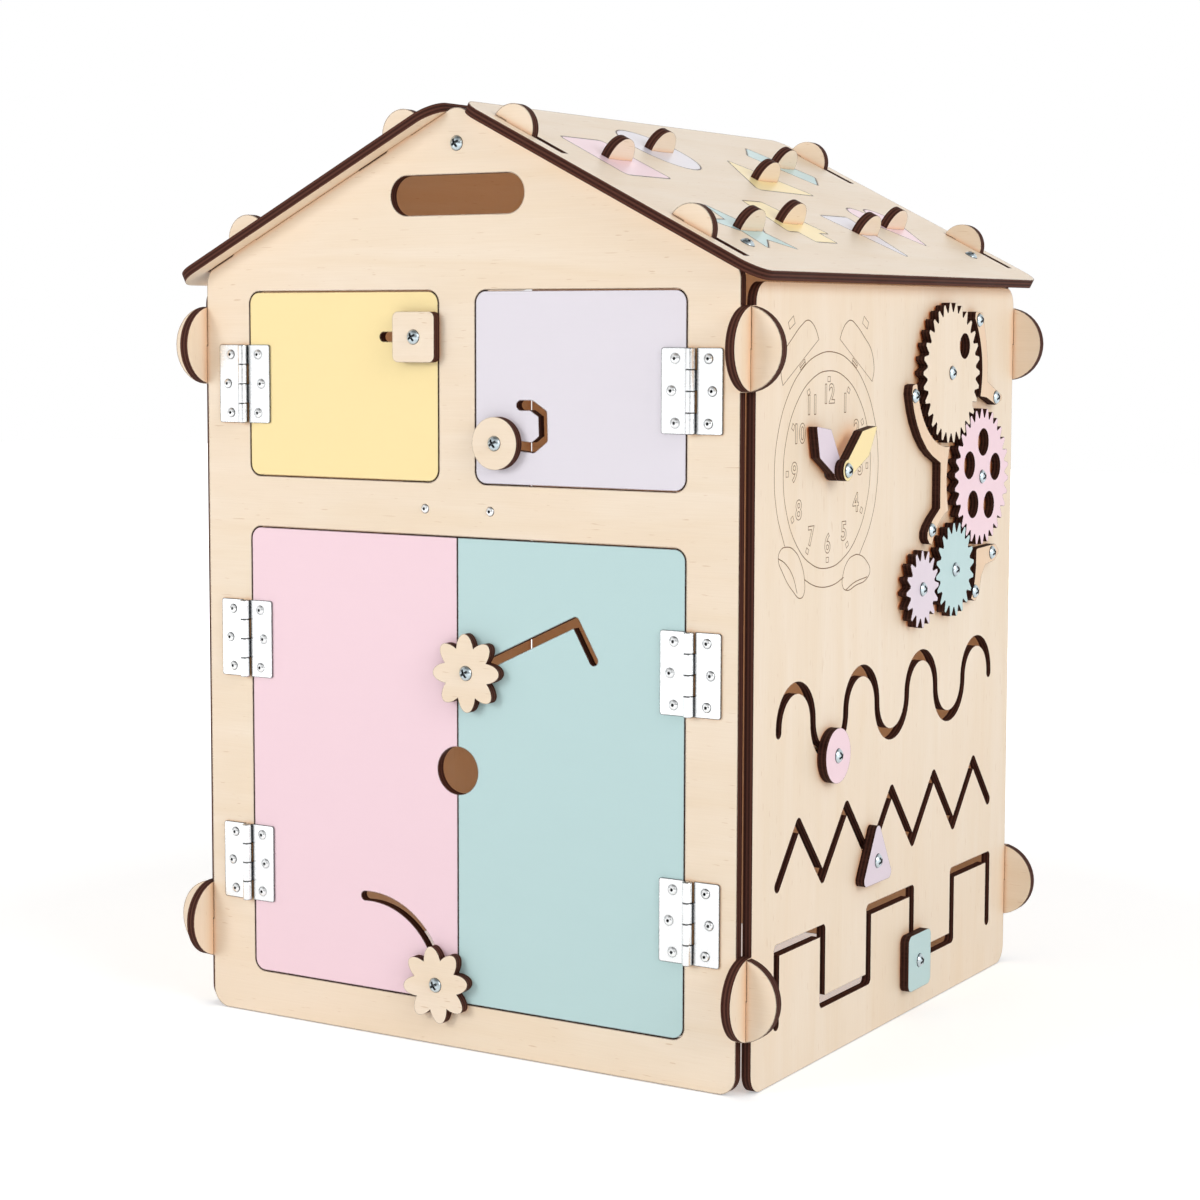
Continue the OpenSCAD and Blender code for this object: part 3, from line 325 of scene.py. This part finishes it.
for hour in range(1, 13):
    turn = math.radians(30 * hour)
    across, up = math.sin(turn), math.cos(turn)
    mark = []
    for u, v in MARK_MM:
        mark.append((across * MARK_RING_MM + u * up + v * across,
            up * MARK_RING_MM - u * across + v * up))
    lines.append(engrave(millimetres(*mark), sharp=CORNERS))
    bpy.ops.object.text_add(location=(across * NUMBER_RING_R, up * NUMBER_RING_R, 0.0))
    number = bpy.context.object
    number.data.body = str(hour)
    number.data.size = NUMBER_SIZE
    number.data.offset = NUMBER_SWELL
    number.data.align_x = "CENTER"
    number.data.align_y = "CENTER"
    number.data.fill_mode = "NONE"
    number.data.bevel_depth = LINE_R * 0.9
    number.data.bevel_resolution = 1
    number.data.resolution_u = 6
    lines.append(number)

bpy.ops.object.select_all(action="DESELECT")
for line in lines:
    line.select_set(True)
bpy.context.view_layer.objects.active = lines[0]
bpy.ops.object.convert(target="MESH")
bpy.ops.object.join()
dial = bpy.context.object
dial.name = "clock_dial_lines"
bpy.ops.object.transform_apply(location=True, rotation=True, scale=True)
# Flattened, so that the lines lie in the face, and turned upright against the sheet.
dial.data.transform(Matrix.Diagonal((1.0, 1.0, LINE_FLATNESS, 1.0)))
dial.data.transform(Matrix((
    (0, 0, 1, PANEL_X),
    (1, 0, 0, CLOCK_Y),
    (0, 1, 0, CLOCK_Z),
    (0, 0, 0, 1))))
dial.data.materials.clear()
dial.data.materials.append(engraved)
bpy.ops.object.mode_set(mode="EDIT")
bpy.ops.mesh.select_all(action="SELECT")
bpy.ops.mesh.remove_doubles(threshold=0.00001)
bpy.ops.mesh.normals_make_consistent(inside=False)
bpy.ops.object.mode_set(mode="OBJECT")
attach(dial, "frame")

# Roof sheets: they hook over the gables' ears. The right one is cut for the eight sorter
# pieces, which rest on the thin backing sheet under it.
SLOPE = math.radians(26.9)
ROOF_RIM = 0.0018
roof_up = Vector((math.sin(SLOPE), 0.0, math.cos(SLOPE)))
roof_down = Vector((math.cos(SLOPE), 0.0, -math.sin(SLOPE)))
left_roof_up = Vector((-roof_up.x, 0.0, roof_up.z))
finish_with(plywood("right_roof_birch", roof_up, BACK, start=(1.7, 5.0, 6.0), rim=ROOF_RIM),
    "right_roof", "roof_backing")
finish_with(plywood("left_roof_birch", left_roof_up, BACK, start=(2.2, 6.4, 3.0)), "left_roof")

# Doors and the stop strip behind the rail: the same plywood. The doors have a satin coat of
# pale paint on the outer face only, and their backs and edges are bare; the strip is bare.
PINK = (0.930, 0.680, 0.745)
MINT = (0.515, 0.705, 0.705)
YELLOW = (0.985, 0.792, 0.398)
LILAC = (0.795, 0.752, 0.815)
DOOR_RIM = 0.0010
finish_with(plywood("stop_birch", BACK, RIGHT, start=(5.0, 1.2, 0.0)), "door_stop_strip")
for colour, paint, start in (
        ("yellow", YELLOW, (2.0, 4.0, 1.0)),
        ("lilac", LILAC, (7.0, 2.0, 1.0)),
        ("pink", PINK, (4.0, 9.0, 1.0)),
        ("mint", MINT, (8.0, 6.0, 1.0))):
    finish_with(plywood(colour + "_door_paint", FRONT, RIGHT, paint, start, rim=DOOR_RIM),
        colour + "_door")

# Hinges and their rivets: pressed steel with bright zinc plating, a little cloudy and softly
# brushed by handling. Painted shade darkens it in its crevices and along its cut rims.
# Painted shade: the colours that darken the steel in its crevices and on its rims.
ZINC_CREVICE_SHADE = (0.030, 0.028, 0.030)
ZINC_RIM_SHADE = (0.045, 0.048, 0.052)
CREVICE_SHADE_REACH = 0.0026
RIM_REACH = 0.0010


def zinc(name, bright, cloudy):
    """Zinc plating that wavers between two tints, with painted shade in crevices and on rims."""
    mat = bpy.data.materials.new(name)
    mat.use_nodes = True
    tree = mat.node_tree

    def spread(source, low, high, first=0.0, last=1.0):
        made = add_node(tree, "ShaderNodeMapRange", {"Value": source,
            "From Min": low, "From Max": high, "To Min": first, "To Max": last})
        return made.outputs["Result"]

    def tint(factor, below, above):
        made = add_node(tree, "ShaderNodeMix", {0: factor, 6: below, 7: above},
            data_type="RGBA")
        return made.outputs[2]

    place = add_node(tree, "ShaderNodeTexCoord")
    cloud = add_node(tree, "ShaderNodeTexNoise",
        {"Vector": place.outputs["Object"], "Scale": 420.0, "Detail": 3.0})
    crevice_shade = add_node(tree, "ShaderNodeAmbientOcclusion", {"Distance": CREVICE_SHADE_REACH},
        samples=6)
    rounded = add_node(tree, "ShaderNodeBevel", {"Radius": RIM_REACH}, samples=8)
    sharp = add_node(tree, "ShaderNodeNewGeometry")
    bend = add_node(tree, "ShaderNodeVectorMath",
        {0: rounded.outputs["Normal"], 1: sharp.outputs["True Normal"]},
        operation="DOT_PRODUCT")
    coat = tint(cloud.outputs["Fac"], bright, cloudy)
    # Painted shade: darker where ambient occlusion finds a crevice.
    coat = tint(spread(crevice_shade.outputs["AO"], 0.45, 0.97), ZINC_CREVICE_SHADE, coat)
    # Painted shade: darker on the rounded rims, where the bevel normal turns away from the face.
    coat = tint(spread(bend.outputs["Value"], 0.90, 0.990), ZINC_RIM_SHADE, coat)
    fill(tree, tree.nodes["Principled BSDF"], {
        "Base Color": coat,
        "Normal": rounded.outputs["Normal"],
        "Roughness": spread(cloud.outputs["Fac"], 0.0, 1.0, 0.20, 0.36),
        "Metallic": 1.0})
    return mat


finish_with(zinc("bright_zinc", (0.960, 0.965, 0.970), (0.850, 0.870, 0.880)),
    "frame_hinge_halves", "frame_rivets", "yellow_door_hinge_half", "lilac_door_hinge_half",
    "pink_door_hinge_halves", "mint_door_hinge_halves")

# Screws, washers and nuts: turned steel with thin bluish zinc, each head with its cross.
# They hold the guards and the sorter's backing, and carry all that slides or turns on them.
finish_with(zinc("bluish_zinc", (0.640, 0.720, 0.760), (0.440, 0.530, 0.570)),
    "panel_fasteners", "axle_fasteners", "square_latch_fastener", "round_latch_fastener",
    "upper_flower_fastener", "lower_flower_fastener", "round_maze_fastener",
    "triangle_maze_fastener", "oblong_maze_fastener")

# Latch knobs: small bare plywood cut-outs that slide over the doors on their screws. Each
# screw runs in a slot of its door and is held behind it by a washer and a nut.
latch_birch = plywood("latch_birch", FRONT, RIGHT, start=(1.1, 3.7, 9.0))
finish_with(latch_birch,
    "square_latch_knob", "round_latch_knob", "upper_flower_latch", "lower_flower_latch")

# Flower latches: two cut-outs of the same sheet with eight long petals, each on its own
# screw. The petals are notched deeply, and a laser cuts them in one line.
PETALS = 8
FLOWER_R = 0.0243
FLOWER_BORE_R = 0.0026
PETAL_HALF_LENGTH = FLOWER_R / 2
PETAL_HALF_WIDTH = 0.267 * FLOWER_R
OUTLINE_POINTS = 192


def petal_reach(turn):
    """Distance from the middle to the outline; each petal is an ellipse that starts there."""
    off = (turn + math.pi / PETALS) % (2 * math.pi / PETALS) - math.pi / PETALS
    ahead = math.cos(off) / PETAL_HALF_LENGTH
    aside = math.sin(off) / PETAL_HALF_WIDTH
    return 2 * ahead / (ahead ** 2 + aside ** 2)


for body, tilt in (("upper_flower", 2.5), ("lower_flower", 9.0)):
    low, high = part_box(body + "_latch")
    screw_low, screw_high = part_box(body + "_fastener")
    middle = (screw_low + screw_high) / 2
    bpy.ops.object.select_all(action="DESELECT")
    bpy.ops.mesh.primitive_circle_add(vertices=OUTLINE_POINTS, radius=FLOWER_R)
    petals = bpy.context.object
    petals.name = body + "_petals"
    bpy.ops.object.mode_set(mode="EDIT")
    bpy.ops.mesh.primitive_circle_add(vertices=OUTLINE_POINTS, radius=FLOWER_BORE_R)
    bpy.ops.mesh.select_all(action="SELECT")
    bpy.ops.mesh.bridge_edge_loops()
    bpy.ops.object.mode_set(mode="OBJECT")
    for corner in petals.data.vertices:
        turn = math.atan2(corner.co.y, corner.co.x)
        reach = petal_reach(turn) if corner.co.length > PETAL_HALF_LENGTH else FLOWER_BORE_R
        turn += math.radians(tilt)
        corner.co = (reach * math.cos(turn), reach * math.sin(turn), 0.0)
    bpy.ops.object.mode_set(mode="EDIT")
    bpy.ops.mesh.select_all(action="SELECT")
    bpy.ops.mesh.extrude_region_move(
        TRANSFORM_OT_translate={"value": (0.0, 0.0, high.y - low.y)})
    bpy.ops.mesh.select_all(action="SELECT")
    bpy.ops.mesh.normals_make_consistent(inside=False)
    bpy.ops.object.mode_set(mode="OBJECT")
    # Turned upright, with its back where the knob's back is.
    petals.data.transform(Matrix((
        (1, 0, 0, middle.x),
        (0, 0, -1, high.y),
        (0, 1, 0, middle.z),
        (0, 0, 0, 1))))
    bpy.ops.object.shade_smooth_by_angle(angle=math.radians(30))
    petals.data.materials.append(latch_birch)
    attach(petals, body)
    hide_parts(body + "_latch")

# Gear train: four spur wheels of the same sheet, three of them painted, and the three bare
# guards that stand round them. The maze knobs are cut from the same painted sheets.
SIDE_BURN = 0.5
LILAC_SIDE = (0.780, 0.668, 0.748)
GUARD_TONE = (0.972, 0.860, 0.770)
finish_with(plywood("gear_birch", RIGHT, UP, start=(0.9, 7.7, 3.3), burn=SIDE_BURN),
    "natural_gear")
finish_with(plywood("pink_side_paint", RIGHT, UP, PINK, (4.4, 1.0, 3.0), burn=SIDE_BURN),
    "pink_gear", "round_maze_knob")
finish_with(plywood("mint_side_paint", RIGHT, UP, MINT, (6.4, 5.0, 3.0), burn=SIDE_BURN),
    "mint_gear", "oblong_maze_knob")
finish_with(plywood("lilac_side_paint", RIGHT, UP, LILAC_SIDE, (3.4, 8.0, 3.0), burn=SIDE_BURN),
    "lilac_gear", "lilac_clock_hand", "triangle_maze_knob")
finish_with(plywood("guard_birch", RIGHT, UP, start=(8.9, 2.7, 1.3), tone=GUARD_TONE,
    burn=SIDE_BURN), "left_gear_guard", "upper_gear_guard", "lower_gear_guard")

# Clock hands: a lilac and a yellow leaf of the same sheet, which turn one above the other
# on one screw in the dial's middle. The lilac one is finished with the lilac gear.
finish_with(plywood("yellow_side_paint", RIGHT, UP, YELLOW, (5.4, 3.0, 2.0), burn=SIDE_BURN),
    "yellow_clock_hand")

# Sorter pieces: painted cut-outs of the roof sheet, each with a bare half-round handle
# that is let through it on edge.
for colour, paint, start, shapes in (
        ("pink", PINK, (2.4, 1.5, 0.0), ("square_shape", "heart_shape")),
        ("mint", MINT, (6.6, 2.5, 0.0), ("rectangle_shape", "star_shape")),
        ("yellow", YELLOW, (9.4, 4.5, 0.0), ("triangle_shape", "lamp_shape")),
        ("lilac", LILAC, (7.4, 6.5, 0.0), ("circle_shape", "wedge_shape"))):
    finish_with(plywood(colour + "_roof_paint", roof_up, BACK, paint, start, rim=ROOF_RIM),
        *shapes)
finish_with(plywood("handle_birch", roof_down, BACK, start=(3.3, 0.6, 8.0)),
    "square_handle", "circle_handle", "triangle_handle", "rectangle_handle", "star_handle",
    "lamp_handle", "wedge_handle", "heart_handle")

# Studio: a plain white floor and sky, seen as white by the camera and by the steel, with
# three large soft lamps.
FLOOR_SIZE, FLOOR_DROP = 12.0, 0.0004
SHADOW_REACH, WHITE_REACH = 0.50, 1.80
WHITE = (1.0, 1.0, 1.0)


def seen_directly(tree):
    """1 where the camera or a shiny surface looks, 0 for the light that reaches the house."""
    rays = add_node(tree, "ShaderNodeLightPath").outputs
    made = add_node(tree, "ShaderNodeMath",
        {0: rays["Is Camera Ray"], 1: rays["Is Glossy Ray"]}, operation="MAXIMUM")
    return made.outputs[0]


bpy.ops.object.select_all(action="DESELECT")
bpy.ops.mesh.primitive_plane_add(size=FLOOR_SIZE, location=(0, 0, -FLOOR_DROP))
floor = bpy.context.object
floor.name = "floor"
floor_mat = bpy.data.materials.new("floor_white")
floor_mat.use_nodes = True
floor_tree = floor_mat.node_tree
# Near the house the floor keeps the shadow; far off, where the lamps don't reach, it is white.
floor_place = add_node(floor_tree, "ShaderNodeTexCoord")
floor_reach = add_node(floor_tree, "ShaderNodeVectorMath",
    {0: floor_place.outputs["Object"]}, operation="LENGTH")
floor_fade = add_node(floor_tree, "ShaderNodeMapRange", {
    "Value": floor_reach.outputs["Value"],
    "From Min": SHADOW_REACH, "From Max": WHITE_REACH, "To Min": 0.40, "To Max": 1.0})
floor_lift = add_node(floor_tree, "ShaderNodeMath",
    {0: seen_directly(floor_tree), 1: floor_fade.outputs["Result"]}, operation="MULTIPLY")
fill(floor_tree, floor_tree.nodes["Principled BSDF"], {
    "Base Color": (0.86, 0.86, 0.86),
    "Roughness": 0.9,
    "Specular IOR Level": 0.1,
    "Emission Color": WHITE,
    "Emission Strength": floor_lift.outputs[0]})
floor.data.materials.append(floor_mat)
floor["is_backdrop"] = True

# Sky: white to look at. As light on the house it is plain and soft, and stronger from the
# sides than from overhead.
SKY_LEVEL, SKY_OVERHEAD = 0.74, 0.42
sky = bpy.data.worlds.new("studio")
bpy.context.scene.world = sky
sky.use_nodes = True
sky_tree = sky.node_tree
sky_tree.nodes.clear()
sky_way = add_node(sky_tree, "ShaderNodeTexCoord").outputs["Generated"]
sky_parts = add_node(sky_tree, "ShaderNodeSeparateXYZ", {0: sky_way})
sky_height = add_node(sky_tree, "ShaderNodeMapRange",
    {"Value": sky_parts.outputs["Z"], "To Min": SKY_LEVEL, "To Max": SKY_OVERHEAD})
sky_strength = add_node(sky_tree, "ShaderNodeMapRange", {
    "Value": seen_directly(sky_tree), "To Min": sky_height.outputs["Result"], "To Max": 1.0})

# The steel also sees the dark parts of the studio: the ceiling, the open side that the
# camera looks in from, and the far left.
DARKENING = 0.85
sky_rays = add_node(sky_tree, "ShaderNodeLightPath").outputs
sky_level = sky_strength.outputs["Result"]
for direction, first, full in (
        ((0.0, 0.0, 1.0), 0.60, 0.90),
        ((0.51, -0.86, 0.0), 0.84, 0.96),
        ((-0.95, 0.31, 0.0), 0.70, 0.93)):
    sky_side = add_node(sky_tree, "ShaderNodeVectorMath", {0: sky_way, 1: direction},
        operation="DOT_PRODUCT")
    sky_shade = add_node(sky_tree, "ShaderNodeMapRange", {"Value": sky_side.outputs["Value"],
        "From Min": first, "From Max": full, "To Max": DARKENING})
    sky_drop = add_node(sky_tree, "ShaderNodeMath",
        {0: sky_shade.outputs["Result"], 1: sky_rays["Is Glossy Ray"]}, operation="MULTIPLY")
    sky_take = add_node(sky_tree, "ShaderNodeMath", {0: sky_level, 1: sky_drop.outputs[0]},
        operation="SUBTRACT", use_clamp=True)
    sky_level = sky_take.outputs[0]
sky_back = add_node(sky_tree, "ShaderNodeBackground", {"Color": WHITE, "Strength": sky_level})
add_node(sky_tree, "ShaderNodeOutputWorld", {"Surface": sky_back.outputs[0]})

# Lamps: three large soft discs that look at the middle of the house, from the front left,
# the right and behind. The size is in metres and the power in watts.
HOUSE_MIDDLE = Vector((0.0, 0.0, 0.28))
for name, place, size, power in (
        ("key_lamp", (-1.7, -2.8, 1.2), 1.5, 36.5),
        ("side_lamp", (3.0, -0.9, 1.6), 1.8, 36.5),
        ("back_lamp", (-1.0, 2.9, 1.75), 2.0, 7.0)):
    bpy.ops.object.light_add(type="AREA", location=place)
    lamp = bpy.context.object
    lamp.name = name
    lamp.data.shape = "DISK"
    lamp.data.size = size
    lamp.data.energy = power
    # The steel doesn't mirror the key lamp, which would wipe out the hinges' outlines.
    lamp.visible_glossy = name != "key_lamp"
    lamp.rotation_mode = "QUATERNION"
    lamp.rotation_quaternion = (HOUSE_MIDDLE - Vector(place)).to_track_quat("-Z", "Y")

# Glow inside the house: daylight that comes in by the cut-outs and goes from sheet to
# sheet, which turns it amber.
GLOW_PLACE = Vector((0.11, -0.11, 0.28))
GLOW_WIDTH, GLOW_HEIGHT, GLOW_POWER = 0.12, 0.42, 0.20
GLOW_AMBER = (1.0, 0.62, 0.40)
bpy.ops.object.light_add(type="AREA", location=GLOW_PLACE)
glow = bpy.context.object
glow.name = "inside_glow"
glow.data.shape = "RECTANGLE"
glow.data.size = GLOW_WIDTH
glow.data.size_y = GLOW_HEIGHT
glow.data.energy = GLOW_POWER
glow.data.color = GLOW_AMBER
glow.rotation_mode = "QUATERNION"
glow.rotation_quaternion = Vector((-1.0, 1.0, 0.0)).to_track_quat("-Z", "Y")
glow.visible_camera = False
glow.visible_glossy = False

# Camera: low to the front and right of the house, a little above its middle, and looking
# slightly down. Its angles are in degrees.
CAMERA_PLACE = (0.8876, -1.5094, 0.4512)
CAMERA_DOWN, CAMERA_ROLL, CAMERA_TURN = 5.10, -0.04, 32.07
bpy.ops.object.camera_add(location=CAMERA_PLACE)
camera = bpy.context.object
camera.rotation_euler = (
    math.radians(90 - CAMERA_DOWN), math.radians(CAMERA_ROLL), math.radians(CAMERA_TURN))
camera.data.sensor_width = 36.0
camera.data.lens = 77.67
camera.data.shift_x = 0.0421
camera.data.shift_y = -0.0391
bpy.context.scene.camera = camera
bpy.context.scene.view_settings.view_transform = "Standard"

low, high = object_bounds()
